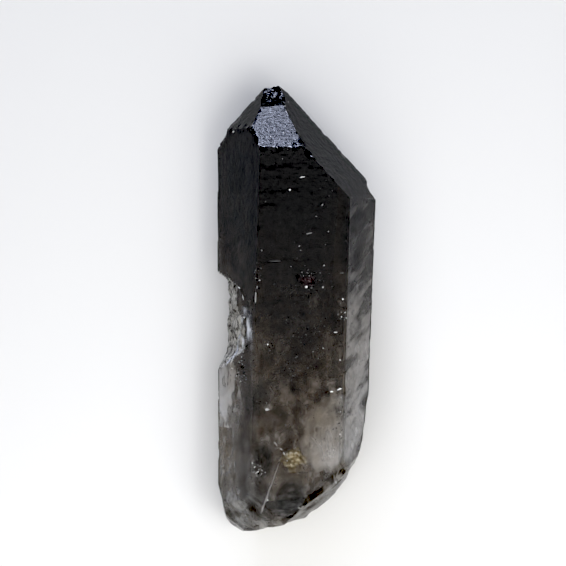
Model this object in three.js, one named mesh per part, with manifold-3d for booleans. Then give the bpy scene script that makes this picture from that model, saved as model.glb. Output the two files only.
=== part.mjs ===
// A smoky quartz crystal, one piece: a six-sided prism that ends in a six-faced point, chipped at the tip,
// scarred along one long edge and broken off at its base. Millimetres, +Z up. It lies on one prism face
// (z = 0) with its point towards +Y, and the origin is the middle of its bounding box at the bottom.
import * as THREE from "three";
import { mergeVertices } from "three/addons/utils/BufferGeometryUtils.js";
import Module from "manifold-3d";

const wasm = await Module();
wasm.setup();

// Driving dimensions
const THICKNESS = 19.1; // from the face it lies on to the face on top
const POINT_ANGLE = 38.2; // degrees from the normal of a prism face to that of the face of the point above it
const APEX = [-3.93, 38.0, 10.3]; // where the upper faces of the point would meet, were the tip whole

// The six prism faces by azimuth: turn is the angle from +Z towards +X in degrees, reach the distance of
// the face from the y axis half way along, and taper how much that grows per millimetre towards the point.
const PRISM_FACES = [
  { turn: 0, reach: THICKNESS, taper: 0 },
  { turn: 60, reach: 16.92, taper: 0.023 },
  { turn: 120, reach: 5.39, taper: 0.0419 },
  { turn: 180, reach: 0, taper: 0 },
  { turn: 240, reach: 7.6, taper: 0.0302 },
  { turn: 300, reach: 15.35, taper: -0.024 },
];

// The six faces of the point, one above each prism face, and how far each lies beyond the apex.
const POINT_FACES = [
  { turn: 0, beyond: 0 },
  { turn: 60, beyond: 0.15 },
  { turn: 120, beyond: 1.85 },
  { turn: 180, beyond: 0.9 },
  { turn: 240, beyond: 1.24 },
  { turn: 300, beyond: 0 },
];

// The break at the base: each plane by its outward direction and a point on it. relief is the height of
// its rough, shell-like surface.
const BREAKS = [
  { out: [0.23, -0.96, 0.05], point: [-4.5, -36.8, 9], relief: 0.4 },
  { out: [0.6, -0.74, 0.16], point: [4.1, -32.7, 9], relief: 0.4 },
  { out: [0.8, -0.55, 0.1], point: [8.5, -28.2, 9], relief: 0.3 },
  { out: [0.98, -0.19, -0.08], point: [10.8, -22.0, 11], relief: 0.25 },
  { out: [-0.6, -0.79, 0.14], point: [-10.8, -36.2, 8.5], relief: 0.3 },
  { out: [-0.95, -0.25, 0.05], point: [-12.9, -31.0, 8.5], relief: 0.2 },
  { out: [0.5, -0.45, 0.74], point: [6.4, -28.6, 17.6], relief: 0.3 },
  { out: [-0.1, -0.8, 0.6], point: [-3.5, -35.6, 17.2], relief: 0.35 },
  { out: [-0.55, -0.62, 0.56], point: [-10.0, -33.6, 13.2], relief: 0.3 },
  { out: [0.15, -0.75, -0.64], point: [-1.5, -34.0, 1.8], relief: 0.4 },
];

const BREAK_SIZE = 42; // of the block that makes each plane
const BREAK_SQUARES = 27; // along that block, for its relief

// Shell-shaped chips: centre of the ball that leaves it, and the ball's radius.
const CHIPS = [
  { at: [-3.9, 41.9, 15.8], radius: 8 }, // front of the tip
  { at: [-1.3, 40.6, 13.4], radius: 5.4 }, // front of the tip, to the right
  { at: [-6.6, 38.9, 12.9], radius: 3.3 }, // front of the tip, to the left
  { at: [-4.4, 43.3, 8.4], radius: 5.7 }, // end of the tip
  { at: [-12.2, 33.6, 10.2], radius: 3.0 }, // left edge of the point
  { at: [-14.6, 30.6, 8.4], radius: 3.1 }, // left shoulder
  { at: [-16.2, 27.4, 5.4], radius: 2.9 }, // below the left shoulder
  { at: [16.4, 21.4, 9.6], radius: 4.3 }, // right shoulder
  { at: [5.6, 32.9, 9.4], radius: 2.4 }, // right edge of the point
  { at: [-7.9, 1.2, 20.7], radius: 1.9 }, // left edge of the top face
  { at: [10.2, -3.4, 20.6], radius: 1.9 }, // right edge of the top face
  { at: [9.9, 14.2, 20.3], radius: 1.5 }, // right edge of the top face, near the point
  { at: [-14.4, -24.6, 8.8], radius: 1.5 }, // left edge near the break
  { at: [14.4, -17.6, 12.4], radius: 2.6 }, // right edge near the break
  { at: [-8.0, -14.5, -1.7], radius: 2.3 }, // left edge of the underside
  { at: [9.9, 8.0, -1.8], radius: 2.5 }, // right edge of the underside
  { at: [-6.3, 30.6, -1.7], radius: 2.6 }, // underside, at the foot of the point
];

// Long hollows on the top face, by centre, half length across, along and down, and turn in the face.
const HOLLOWS = [
  { at: [-5.6, -24.4, 19.3], half: [1.4, 3.4, 1.3], turn: 0.12 },
  { at: [-0.7, -24.6, 19.5], half: [1.7, 2.2, 1.1], turn: 0.5 },
  { at: [0.6, 4.6, 19.5], half: [2.1, 1.5, 0.8], turn: 0.3 },
  { at: [4.9, -13.6, 19.6], half: [1.3, 0.9, 0.8], turn: 0.2 },
];

// Raised lumps in the scar and on its upper rim.
const LUMPS = [
  { at: [-9.1, -3.9, 14.1], half: [1.0, 2.4, 1.1] },
  { at: [-10.0, -8.6, 12.7], half: [1.3, 2.0, 1.3] },
  { at: [-10.3, -6.4, 9.2], half: [1.5, 2.2, 3.0] },
  { at: [-10.1, 1.2, 7.4], half: [1.4, 1.9, 3.2] },
];

// The scar along the left edge, where a neighbour broke away: a rough wall that faces left and a little
// up, with a steep end towards the point. Below its floor the wall comes out of the crystal again.
const SCAR = { out: [-0.978, 0, 0.208], at: [-11.45, -3.4, 4.6], size: 22, squares: 30, relief: 0.6 };
const SCAR_TOP = 5.0; // y of the steep end
const SCAR_FLOOR = -6.2; // y where the wall starts to come out
const SCAR_END = -11.8; // y where it is out
const SCAR_DEPTH = 3; // how far it comes out by then

// Pits on the top face: x, y and radius.
const TOP_PITS = [
  [-0.9, 20.0, 0.35], [1.2, 22.1, 0.45], [4.7, 17.5, 0.5], [3.3, 15.7, 0.3], [2.3, 13.0, 0.55],
  [5.5, 13.2, 0.35], [-0.8, 7.3, 0.35], [4.8, 7.5, 0.4], [-5.7, 8.3, 0.4], [-6.0, 5.4, 0.4],
  [2.9, 2.9, 0.5], [4.7, 4.2, 0.4], [7.2, 1.5, 0.4], [6.9, -2.2, 0.45], [6.2, -4.4, 0.35],
  [-4.6, -6.1, 0.45], [-5.6, -7.2, 0.4], [4.4, -6.5, 0.45], [-0.7, -9.0, 0.5], [7.0, -17.6, 0.4],
  [-5.0, -16.3, 0.45], [1.6, -16.4, 0.4], [5.6, -17.6, 0.35], [7.4, -20.4, 0.35], [-6.6, -29.9, 0.4],
  [3.6, -31.2, 0.4], [-2.4, -32.3, 0.5], [-2.2, -19.4, 0.45], [3.1, -10.2, 0.4], [-3.2, -11.6, 0.35],
];
const PIT_DEPTH = 0.55; // as a share of a pit's radius
const SIDE_PITS = 7; // on each of the other prism faces

// Growth ledges: shallow terraces that run right across a prism face. Each starts at a straight ledge and
// rises to the face again. turn names the face, y is where the ledge is, and deep is its height.
const LEDGES = [
  { turn: 0, y: 17.2, deep: 0.07 },
  { turn: 0, y: 8.2, deep: 0.08 },
  { turn: 0, y: -11.4, deep: 0.07 },
  { turn: 60, y: 12.6, deep: 0.2 },
  { turn: 60, y: 4.0, deep: 0.15 },
  { turn: 60, y: -9.5, deep: 0.2 },
  { turn: 120, y: 10.4, deep: 0.25 },
  { turn: 120, y: 1.5, deep: 0.15 },
  { turn: 120, y: -7.4, deep: 0.25 },
  { turn: 240, y: 20.3, deep: 0.22 },
  { turn: 240, y: 11.2, deep: 0.15 },
  { turn: 240, y: -14.6, deep: 0.2 },
  { turn: 240, y: -22.8, deep: 0.2 },
  { turn: 300, y: 19.1, deep: 0.15 },
  { turn: 300, y: 11.3, deep: 0.15 },
  { turn: 300, y: -17.5, deep: 0.15 },
];
const LEDGE_SLOPE = 0.035; // rise of a terrace per millimetre
const LEDGE_LENGTH = 40; // across the face and past both its edges

// Small steps where the point's right face runs out over the top face.
const STEPS = { count: 11, from: [1.4, 26.7], to: [8.8, 18.9], size: 1.1, depth: 0.17 };

const FAR = 120; // longer than the crystal, for the blocks that cut it

// A repeatable stream of numbers from 0 to 1.
function stream(seed) {
  let state = seed;
  return () => {
    state = (state * 16807) % 2147483647;
    return state / 2147483647;
  };
}

// A manifold-3d solid from a closed three.js geometry.
function solid(geometry) {
  const bare = geometry.clone();
  bare.deleteAttribute("normal");
  bare.deleteAttribute("uv");
  const merged = mergeVertices(bare, 1e-4);
  return new wasm.Manifold(
    new wasm.Mesh({
      numProp: 3,
      vertProperties: new Float32Array(merged.attributes.position.array),
      triVerts: new Uint32Array(merged.index.array),
    }),
  );
}

// A three.js geometry from a manifold-3d solid, with its origin at the middle of its box, at the bottom.
function geometryOf(made) {
  const mesh = made.getMesh();
  const geometry = new THREE.BufferGeometry();
  geometry.setAttribute("position", new THREE.BufferAttribute(new Float32Array(mesh.vertProperties), 3));
  geometry.setIndex(new THREE.BufferAttribute(new Uint32Array(mesh.triVerts), 1));
  geometry.computeBoundingBox();
  const { min, max } = geometry.boundingBox;
  geometry.translate(-(min.x + max.x) / 2, -(min.y + max.y) / 2, 0);
  geometry.computeVertexNormals();
  return geometry;
}

// The direction at an azimuth from +Z towards +X, square to the long axis.
function across(turn) {
  const angle = THREE.MathUtils.degToRad(turn);
  return new THREE.Vector3(Math.sin(angle), 0, Math.cos(angle));
}

// Smooth lumps between about -1 and 1: waves in four unlike directions, added.
function lumps(p, length) {
  const k = (2 * Math.PI) / length;
  return (
    0.4 * Math.sin(k * (0.9 * p.x + 0.2 * p.y - 0.4 * p.z) + 1.3) +
    0.3 * Math.sin(k * (-0.5 * p.x + 0.8 * p.y + 0.7 * p.z) + 4.1) +
    0.2 * Math.sin(k * (1.3 * p.x - 1.1 * p.y + 1.2 * p.z) + 2.2) +
    0.15 * Math.sin(k * (1.9 * p.x + 1.7 * p.y - 2.1 * p.z) + 0.6)
  );
}

// A block that lies beyond a plane. Its near side is cut into squares, which height lifts along out.
function blockBeyond(out, point, size, squares, height = () => 0) {
  const block = new THREE.BoxGeometry(size, size, size, squares, squares, 1);
  block.translate(0, 0, size / 2);
  block.applyQuaternion(new THREE.Quaternion().setFromUnitVectors(new THREE.Vector3(0, 0, 1), out));
  block.translate(point.x, point.y, point.z);
  const place = block.attributes.position;
  const p = new THREE.Vector3();
  for (let i = 0; i < place.count; i++) {
    p.fromBufferAttribute(place, i);
    const isNear = p.clone().sub(point).dot(out) < size / 2;
    if (isNear) p.addScaledVector(out, height(p));
    place.setXYZ(i, p.x, p.y, p.z);
  }
  return block;
}

// The six prism faces, cut from a block: each leans by its taper.
function prism() {
  let body = solid(new THREE.BoxGeometry(FAR / 2, FAR * 0.75, FAR / 2));
  for (const face of PRISM_FACES) {
    const side = across(face.turn);
    const out = new THREE.Vector3(side.x, -face.taper, side.z).normalize();
    body = body.subtract(solid(blockBeyond(out, side.multiplyScalar(face.reach), FAR, 1)));
  }
  return body;
}

// The six faces of the point.
function cutPoint(body) {
  const lean = THREE.MathUtils.degToRad(POINT_ANGLE);
  for (const face of POINT_FACES) {
    const out = across(face.turn).multiplyScalar(Math.cos(lean));
    out.y = Math.sin(lean);
    const at = new THREE.Vector3(...APEX).addScaledVector(out, face.beyond);
    body = body.subtract(solid(blockBeyond(out, at, FAR, 1)));
  }
  return body;
}

// The broken base: rough planes with low shell-like ripples round a point of each.
function cutBase(body) {
  for (const { out, point, relief } of BREAKS) {
    const way = new THREE.Vector3(...out).normalize();
    const at = new THREE.Vector3(...point);
    const height = (p) => {
      const ripple = 0.25 * Math.sin(1.5 * p.distanceTo(at));
      return relief * (lumps(p, 9) + 0.35 * lumps(p, 3.1) + ripple);
    };
    body = body.subtract(solid(blockBeyond(way, at, BREAK_SIZE, BREAK_SQUARES, height)));
  }
  return body;
}

// A ball stretched to three half lengths, its surface uneven as broken quartz is.
function unevenBall(at, half, relief, detail, turn = 0) {
  const ball = new THREE.IcosahedronGeometry(1, detail);
  const place = ball.attributes.position;
  const p = new THREE.Vector3();
  for (let i = 0; i < place.count; i++) {
    p.fromBufferAttribute(place, i);
    const spot = new THREE.Vector3(p.x * half[0] + at[0], p.y * half[1] + at[1], p.z * half[2] + at[2]);
    const swell = 1 + relief * (lumps(spot, 4.3) + 0.5 * lumps(spot, 1.9));
    place.setXYZ(i, p.x * half[0] * swell, p.y * half[1] * swell, p.z * half[2] * swell);
  }
  ball.rotateZ(turn);
  ball.translate(...at);
  return solid(ball);
}

// The chips on the edges and the tip.
function cutChips(body) {
  for (const { at, radius } of CHIPS) {
    body = body.subtract(unevenBall(at, [radius, radius, radius], 0.025, 7));
  }
  return body;
}

// The hollows in the top face.
function cutHollows(body) {
  for (const { at, half, turn } of HOLLOWS) {
    body = body.subtract(unevenBall(at, half, 0.12, 6, turn));
  }
  return body;
}

// The scar on the left edge. The steep end is the wall's own squares pushed together at the top.
function cutScar(body) {
  const way = new THREE.Vector3(...SCAR.out).normalize();
  const at = new THREE.Vector3(...SCAR.at);
  const height = (p) => {
    const out = THREE.MathUtils.smoothstep(SCAR_FLOOR - p.y, 0, SCAR_FLOOR - SCAR_END);
    return SCAR.relief * (lumps(p, 6.2) + 0.6 * lumps(p, 2.6)) + SCAR_DEPTH * out;
  };
  const wall = blockBeyond(way, at, SCAR.size, SCAR.squares, height);
  const place = wall.attributes.position;
  for (let i = 0; i < place.count; i++) {
    const slant = 0.8 * (at.x - place.getX(i)) + 0.3 * Math.sin(1.7 * place.getZ(i));
    place.setY(i, Math.min(place.getY(i), SCAR_TOP + slant));
  }
  return body.subtract(solid(wall));
}

// The lumps in the scar.
function addLumps(body) {
  for (const { at, half } of LUMPS) {
    body = body.add(unevenBall(at, half, 0.22, 7));
  }
  return body;
}

// Six-sided hollows in a face. Each place gives a pit's middle on the face; out is the face's direction.
function cutPits(body, out, places) {
  const turn = new THREE.Quaternion().setFromUnitVectors(new THREE.Vector3(0, 1, 0), out);
  for (const { place, radius } of places) {
    const cone = new THREE.ConeGeometry(radius * 2, radius * PIT_DEPTH * 2, 6);
    cone.rotateX(Math.PI);
    cone.applyQuaternion(turn);
    cone.translate(place.x, place.y, place.z);
    body = body.subtract(solid(cone));
  }
  return body;
}

// A face's outward direction, and the point on it at a place along and across the face. side counts from
// the face's middle line.
function onFace(turn, y, side) {
  const face = PRISM_FACES.find((f) => f.turn === turn);
  const normal = across(turn);
  const along = new THREE.Vector3(normal.z, 0, -normal.x);
  const core = new THREE.Vector3(0, 0, THICKNESS / 2);
  const point = core.addScaledVector(normal, face.reach + face.taper * y - core.dot(normal));
  point.addScaledVector(along, side);
  point.y = y;
  return { point, out: new THREE.Vector3(normal.x, -face.taper, normal.z).normalize(), along };
}

// The pits that the top face shows, and a few scattered on every other prism face.
function cutAllPits(body) {
  const next = stream(41);
  const top = TOP_PITS.map(([x, y, radius]) => ({ place: new THREE.Vector3(x, y, THICKNESS), radius }));
  body = cutPits(body, new THREE.Vector3(0, 0, 1), top);
  for (const { turn } of PRISM_FACES.slice(1)) {
    const places = Array.from({ length: SIDE_PITS }, () => {
      const { point } = onFace(turn, -28 + 44 * next(), 7 * (next() - 0.5));
      return { place: point, radius: 0.3 + 0.35 * next() };
    });
    body = cutPits(body, onFace(turn, 0, 0).out, places);
  }
  return body;
}

// The growth ledges: each a thin wedge of quartz taken off a face.
function cutLedges(body) {
  for (const { turn, y, deep } of LEDGES) {
    const { point, out, along } = onFace(turn, y, 0);
    const run = deep / LEDGE_SLOPE;
    const outline = new THREE.Shape();
    outline.moveTo(0, -deep);
    outline.lineTo(run, 0);
    outline.lineTo(run, 1);
    outline.lineTo(0, 1);
    outline.closePath();
    const wedge = new THREE.ExtrudeGeometry(outline, { depth: LEDGE_LENGTH, bevelEnabled: false });
    wedge.translate(0, 0, -LEDGE_LENGTH / 2);
    const forward = new THREE.Vector3().crossVectors(out, along).normalize();
    wedge.applyMatrix4(new THREE.Matrix4().makeBasis(forward, out, along));
    wedge.translate(point.x, point.y, point.z);
    body = body.subtract(solid(wedge));
  }
  return body;
}

// The ragged stair where the point's right face meets the top face.
function cutSteps(body) {
  const next = stream(19);
  for (let i = 0; i < STEPS.count; i++) {
    const share = (i + 0.7 * next()) / STEPS.count;
    const x = STEPS.from[0] + (STEPS.to[0] - STEPS.from[0]) * share;
    const y = STEPS.from[1] + (STEPS.to[1] - STEPS.from[1]) * share;
    const size = STEPS.size * (0.6 + next());
    const step = new THREE.BoxGeometry(size, size * 1.3, STEPS.depth * 2 * (0.6 + next()));
    step.rotateZ(0.2 * next());
    step.translate(x, y, THICKNESS);
    body = body.subtract(solid(step));
  }
  return body;
}

let quartz = prism();
quartz = cutPoint(quartz);
quartz = cutSteps(quartz);
quartz = cutLedges(quartz);
quartz = cutAllPits(quartz);
quartz = cutHollows(quartz);
quartz = cutBase(quartz);
quartz = cutScar(quartz);
quartz = addLumps(quartz);
quartz = cutChips(quartz);

const smokyQuartz = new THREE.MeshStandardMaterial({ color: 0x37332e, roughness: 0.12, metalness: 0 });
const crystal = new THREE.Mesh(geometryOf(quartz), smokyQuartz);
crystal.name = "crystal";

const smokyQuartzCrystal = new THREE.Group();
smokyQuartzCrystal.add(crystal);

export default smokyQuartzCrystal;
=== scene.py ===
import math

import bpy
import numpy as np
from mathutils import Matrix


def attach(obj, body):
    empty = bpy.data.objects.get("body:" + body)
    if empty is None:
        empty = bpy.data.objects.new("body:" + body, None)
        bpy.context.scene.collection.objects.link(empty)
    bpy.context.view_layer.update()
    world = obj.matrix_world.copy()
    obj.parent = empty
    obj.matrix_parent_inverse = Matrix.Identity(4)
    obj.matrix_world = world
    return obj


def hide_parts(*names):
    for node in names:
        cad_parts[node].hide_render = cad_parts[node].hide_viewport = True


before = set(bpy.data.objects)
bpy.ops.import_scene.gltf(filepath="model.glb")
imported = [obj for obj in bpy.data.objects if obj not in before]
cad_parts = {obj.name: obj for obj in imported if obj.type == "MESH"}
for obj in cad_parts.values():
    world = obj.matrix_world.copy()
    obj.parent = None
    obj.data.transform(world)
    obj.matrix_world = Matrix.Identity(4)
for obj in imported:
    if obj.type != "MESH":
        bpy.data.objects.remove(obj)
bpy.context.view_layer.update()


# The setting: a plain pale floor, a camera straight above it, and the soft light of a room with a window
# beyond the crystal's point. The window is what the front face of the point mirrors.

MM = 0.001
FLOOR_GAP = 0.05 * MM  # air left between the crystal and the floor
FLOOR_HALF = 1.5  # m
FLOOR_WHITE = "#eeedea"
CAMERA_AT = (-2.22 * MM, 4.67 * MM, 420 * MM)
CLIP_NEAR = 0.01
SENSOR = 36.0  # mm
PIXELS_PER_MM = 5.9  # in the 566-pixel picture, at the crystal's mid height
MID_HEIGHT = 9.5 * MM
PICTURE_PIXELS = 566
CEILING = (2.04, 2.04, 2.05, 1)  # light from straight overhead
WALLS = (0.16, 0.164, 0.172, 1)  # light from the sides
CEILING_POWER = 26.0  # the higher, the smaller the bright patch overhead
LAMPS = (  # name, azimuth and elevation in degrees, distance, width and height in m, power in W, colour
    ("window", -4, 13.6, 1.1, (0.64, 0.32), 13.0, "#dde4fb"),
    ("lamp base", 172, 53, 0.17, (0.24, 0.13), 0.19, "#ffffff"),
    ("lamp left", 262, 62, 0.5, (0.3, 0.2), 0.32, "#ffffff"),
    ("lamp right", 112, 62, 0.5, (0.3, 0.2), 0.62, "#ffffff"),
)
FILM_BLACK = 0.08  # everything below this level of light shows as black


def linear(colour):
    """An sRGB hex colour as linear red, green, blue and alpha: each channel through the sRGB curve."""
    channels = np.array([int(colour[i : i + 2], 16) for i in (1, 3, 5)]) / 255
    low = channels / 12.92
    high = ((channels + 0.055) / 1.055) ** 2.4
    return (*np.where(channels <= 0.04045, low, high), 1.0)


def add_node(tree, kind, settings=None, **links):
    """A node of one kind. A setting is an attribute, or the value of the input of that name or number. A link
    joins an output to the input that its key names, with _ for a space and i0 for number 0."""
    node = tree.nodes.new(kind)
    for key, value in (settings or {}).items():
        if isinstance(key, str) and hasattr(node, key):
            setattr(node, key, value)
        else:
            node.inputs[key].default_value = value
    for key, output in links.items():
        name = key.replace("_", " ")
        numbered = name[0] == "i" and name[1:].isdigit()
        tree.links.new(output, node.inputs[int(name[1:]) if numbered else name])
    return node


def new_material(name):
    """An empty node material and its output node."""
    material = bpy.data.materials.new(name)
    material.use_nodes = True
    material.node_tree.nodes.clear()
    return material, material.node_tree.nodes.new("ShaderNodeOutputMaterial")


def floor():
    """A flat square just below the crystal, of matt card: evenly pale, with no gloss."""
    corners = np.array([[-1, -1, 0], [1, -1, 0], [1, 1, 0], [-1, 1, 0]]) * FLOOR_HALF
    corners[:, 2] = -FLOOR_GAP
    mesh = bpy.data.meshes.new("floor")
    mesh.from_pydata(corners.tolist(), [], [(0, 1, 2, 3)])
    material, out = new_material("matt white card")
    shader = add_node(
        material.node_tree,
        "ShaderNodeBsdfPrincipled",
        {"Base Color": linear(FLOOR_WHITE), "Roughness": 0.9, "Specular IOR Level": 0.1},
    )
    material.node_tree.links.new(shader.outputs["BSDF"], out.inputs["Surface"])
    mesh.materials.append(material)
    card = bpy.data.objects.new("floor", mesh)
    bpy.context.scene.collection.objects.link(card)


def camera():
    """A camera that looks straight down, with the top of its picture towards +Y. Its focal length is the
    sensor's width times the distance to the crystal's mid height, over the width that the picture shows
    there."""
    lens = bpy.data.cameras.new("camera")
    width = PICTURE_PIXELS / PIXELS_PER_MM * MM
    lens.sensor_width = SENSOR
    lens.lens = SENSOR * (CAMERA_AT[2] - MID_HEIGHT) / width
    lens.clip_start = CLIP_NEAR
    eye = bpy.data.objects.new("camera", lens)
    eye.location = CAMERA_AT
    bpy.context.scene.collection.objects.link(eye)
    bpy.context.scene.camera = eye


def softbox(name, azimuth, elevation, distance, size, power, colour):
    """A rectangular lamp that faces the crystal from a direction: azimuth from +Y towards +X."""
    lamp = bpy.data.lights.new(name, "AREA")
    lamp.shape = "RECTANGLE"
    lamp.size, lamp.size_y = size
    lamp.energy = power
    lamp.color = linear(colour)[:3]
    turn, rise = math.radians(azimuth), math.radians(elevation)
    box = bpy.data.objects.new(name, lamp)
    box.location = (
        distance * math.sin(turn) * math.cos(rise),
        distance * math.cos(turn) * math.cos(rise),
        distance * math.sin(rise),
    )
    box.rotation_euler = (math.pi / 2 - rise, 0, math.pi - turn)
    bpy.context.scene.collection.objects.link(box)


def room():
    """Light from all round: the walls' brightness blended into the ceiling's by a power of the sine of the
    rise."""
    world = bpy.data.worlds.new("room")
    world.use_nodes = True
    tree = world.node_tree
    tree.nodes.clear()
    way = add_node(tree, "ShaderNodeTexCoord")
    parts = add_node(tree, "ShaderNodeSeparateXYZ", Vector=way.outputs["Generated"])
    power = {"operation": "POWER", "use_clamp": True, 1: CEILING_POWER}
    share = add_node(tree, "ShaderNodeMath", power, i0=parts.outputs["Z"])
    ends = {"data_type": "RGBA", 6: WALLS, 7: CEILING}
    blend = add_node(tree, "ShaderNodeMix", ends, Factor=share.outputs[0])
    light = add_node(tree, "ShaderNodeBackground", Color=blend.outputs[2])
    add_node(tree, "ShaderNodeOutputWorld", Surface=light.outputs["Background"])
    bpy.context.scene.world = world


def film():
    """The picture's tones: as bright as the scene, apart from a level of light that is already black."""
    look = bpy.context.scene.view_settings
    look.view_transform = "Standard"
    look.use_curve_mapping = True
    look.curve_mapping.black_level = (FILM_BLACK, FILM_BLACK, FILM_BLACK)


floor()
camera()
room()
for lamp_facts in LAMPS:
    softbox(*lamp_facts)
film()


# The crystal: one piece of smoky quartz, a six-sided prism that ends in a six-faced point. It grew as flat
# faces with low ledges across them. Knocks chipped its tip and edges, a neighbour broke away from its left
# edge, and it was broken off its rock at the base.

MIDDLE = np.array([0.112, -0.286, 0.0])  # the finished part's origin, in the frame of the faces below
THICKNESS = 19.1  # from the face it rests on to the front face
POINT_ANGLE = 38.2  # degrees from the normal of a prism face to that of the face of the point above it
APEX = np.array([-3.93, 38.0, 10.3])

PRISM_FACES = (  # turn from +Z towards +X in degrees, distance from the y axis, growth of it per mm of y
    (0, THICKNESS, 0),
    (60, 16.92, 0.023),
    (120, 5.39, 0.0419),
    (180, 0, 0),
    (240, 7.6, 0.0302),
    (300, 15.35, -0.024),
)
POINT_FACES = (  # turn, distance past the apex
    (0, 0),
    (60, 0.15),
    (120, 1.85),
    (180, 0.9),
    (240, 1.24),
    (300, 0),
)
BREAKS = (  # outward direction, a point on the plane, height of its relief
    ((0.23, -0.96, 0.05), (-4.5, -36.8, 9), 0.4),
    ((0.6, -0.74, 0.16), (4.1, -32.7, 9), 0.4),
    ((0.8, -0.55, 0.1), (8.5, -28.2, 9), 0.3),
    ((0.98, -0.19, -0.08), (10.8, -22.0, 11), 0.25),
    ((-0.6, -0.79, 0.14), (-10.8, -36.2, 8.5), 0.3),
    ((-0.95, -0.25, 0.05), (-12.9, -31.0, 8.5), 0.2),
    ((0.5, -0.45, 0.74), (6.4, -28.6, 17.6), 0.3),
    ((-0.1, -0.8, 0.6), (-3.5, -35.6, 17.2), 0.35),
    ((-0.55, -0.62, 0.56), (-10.0, -33.6, 13.2), 0.3),
    ((0.15, -0.75, -0.64), (-1.5, -34.0, 1.8), 0.4),
)
ROUGH_SHARE, RIPPLE_SHARE = 0.8, 0.25  # of that height
RIPPLE_TURN = 1.5  # radians of a ripple for each mm from the middle of the blow
CHIPS = (  # middle of the ball that leaves the chip, and its radius
    ((-3.9, 41.9, 15.8), 8),
    ((-1.3, 40.6, 13.4), 5.4),
    ((-6.6, 38.9, 12.9), 3.3),
    ((-4.4, 43.3, 8.4), 5.7),
    ((-12.2, 33.6, 10.2), 3.0),
    ((-14.6, 30.6, 8.4), 3.1),
    ((-16.2, 27.4, 5.4), 2.9),
    ((16.4, 21.4, 9.6), 4.3),
    ((5.6, 32.9, 9.4), 2.4),
    ((-7.9, 1.2, 20.7), 1.9),
    ((10.2, -3.4, 20.6), 1.9),
    ((9.9, 14.2, 20.3), 1.5),
    ((-14.4, -24.6, 8.8), 1.5),
    ((14.4, -17.6, 12.4), 2.6),
    ((-8.0, -14.5, -1.7), 2.3),
    ((9.9, 8.0, -1.8), 2.5),
    ((-6.3, 30.6, -1.7), 2.6),
)
TIP_FROM = 38.0  # y past which a chip broke with a rougher face
CHIP_ROUGH, TIP_ROUGH = 0.2, 0.45
TIP_END = 37.82  # y of the end of the tip
HOLLOWS = (  # middle, half lengths, turn in the top face in radians
    ((-5.7, -24.6, 20.1), (1.3, 3.0, 0.75), 0.12),
    ((-0.7, -24.6, 20.0), (1.8, 2.3, 1.0), 0.5),
    ((2.2, 4.8, 20.05), (2.3, 1.4, 0.8), -0.3),
    ((4.9, -13.6, 19.8), (1.1, 0.8, 0.8), 0.2),
)
HOLLOW_ROUGH = 0.3
TOP_PITS = (  # x, y, radius
    (-0.9, 20.0, 0.35), (1.2, 22.1, 0.45), (4.7, 17.5, 0.5), (3.3, 15.7, 0.3), (2.3, 13.0, 0.55),
    (5.5, 13.2, 0.35), (-0.8, 7.3, 0.35), (4.8, 7.5, 0.4), (-5.7, 8.3, 0.4), (-6.0, 5.4, 0.4),
    (2.9, 2.9, 0.5), (4.7, 4.2, 0.4), (7.2, 1.5, 0.4), (6.9, -2.2, 0.45), (6.2, -4.4, 0.35),
    (-4.6, -6.1, 0.45), (-5.6, -7.2, 0.4), (4.4, -6.5, 0.45), (-0.7, -9.0, 0.5), (7.0, -17.6, 0.4),
    (-5.0, -16.3, 0.45), (1.6, -16.4, 0.4), (5.6, -17.6, 0.35), (7.4, -20.4, 0.35), (-6.6, -29.9, 0.4),
    (3.6, -31.2, 0.4), (-2.4, -32.3, 0.5), (-2.2, -19.4, 0.45), (3.1, -10.2, 0.4), (-3.2, -11.6, 0.35),
)
PIT_SLOPE = 0.25
NO_PIT = -9.0  # depth far from every pit
LEDGES = (  # turn of the face, y of the ledge, its height
    (0, 17.2, 0.02), (0, 8.2, 0.025), (0, -11.4, 0.02),
    (60, 12.6, 0.04), (60, 4.0, 0.05), (60, -9.5, 0.08),
    (120, 10.4, 0.08), (120, 1.5, 0.06), (120, -7.4, 0.08),
    (240, 20.3, 0.22), (240, 11.2, 0.15), (240, -14.6, 0.2), (240, -22.8, 0.2),
    (300, 19.1, 0.06), (300, 11.3, 0.05), (300, -17.5, 0.08),
)
LEDGE_SLOPE = 0.035
LINE_MM = 0.9  # between the fine growth lines that run across each grown side
LINE_RUN = 0.1  # how slowly they change along themselves
LINE_DEPTH = 0.05
LINE_LEAST = 0.3  # the height of their noise that is left flat
TOP_LOW = 0.05  # how far the front face lies below its box, which leaves room for what sits on it
SCAR_OUT = np.array([-0.978, 0, 0.208])
SCAR_AT = np.array([-11.45, -3.4, 4.6])
SCAR_TOP = 5.0  # y of its steep upper end
SCAR_FLOOR = -6.2  # y where its wall starts to come out, and then where it ends
SCAR_END = -11.8
SCAR_DEPTH = 3.0
SCAR_RELIEF = 0.6
SCAR_LEAN = 0.8  # of the steep end: mm of y for each mm of x
EDGE_WEAR = 0.7  # how far from an edge its knocks reach
WEAR_DEPTH = 0.18  # how deep they are
WEAR_LEAST = 0.12  # the share of that below which an edge stays sharp
RAGGED_FROM = 25.4  # y past which the edges are the most knocked
RAGGED, CALM = 2.0, 0.3  # how much, past it and before it
ROUGH = ((3.4, 1, 1), (1.5, 0.5, 2), (0.75, 0.25, 3), (0.45, 0.2, 12))  # grains: size in mm, height, seed
SWELL = ((6, 0.025, 6), (1.9, 0.012, 9))  # the same of the slow swell of each grown side
SWAY = ((5, 1.3, 7), (1.1, 0.3, 8))  # and of the way its ledges and lines wander
NOTCHES = ((1.3, 1, 10, 0.35), (0.6, 0.7, 11, 0.1))  # and of the edges' notches, with the height left flat
BEND_MM, BEND = 5, 1.2  # length over which the ripples of a break bend, and by how many radians
LATTICE = (127.1, 311.7, 74.7)  # these make a random number of a corner of a lattice
SCATTER = 43758.5453
SEED_CELLS = 31.7  # cells between the lattices of two seeds

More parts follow.
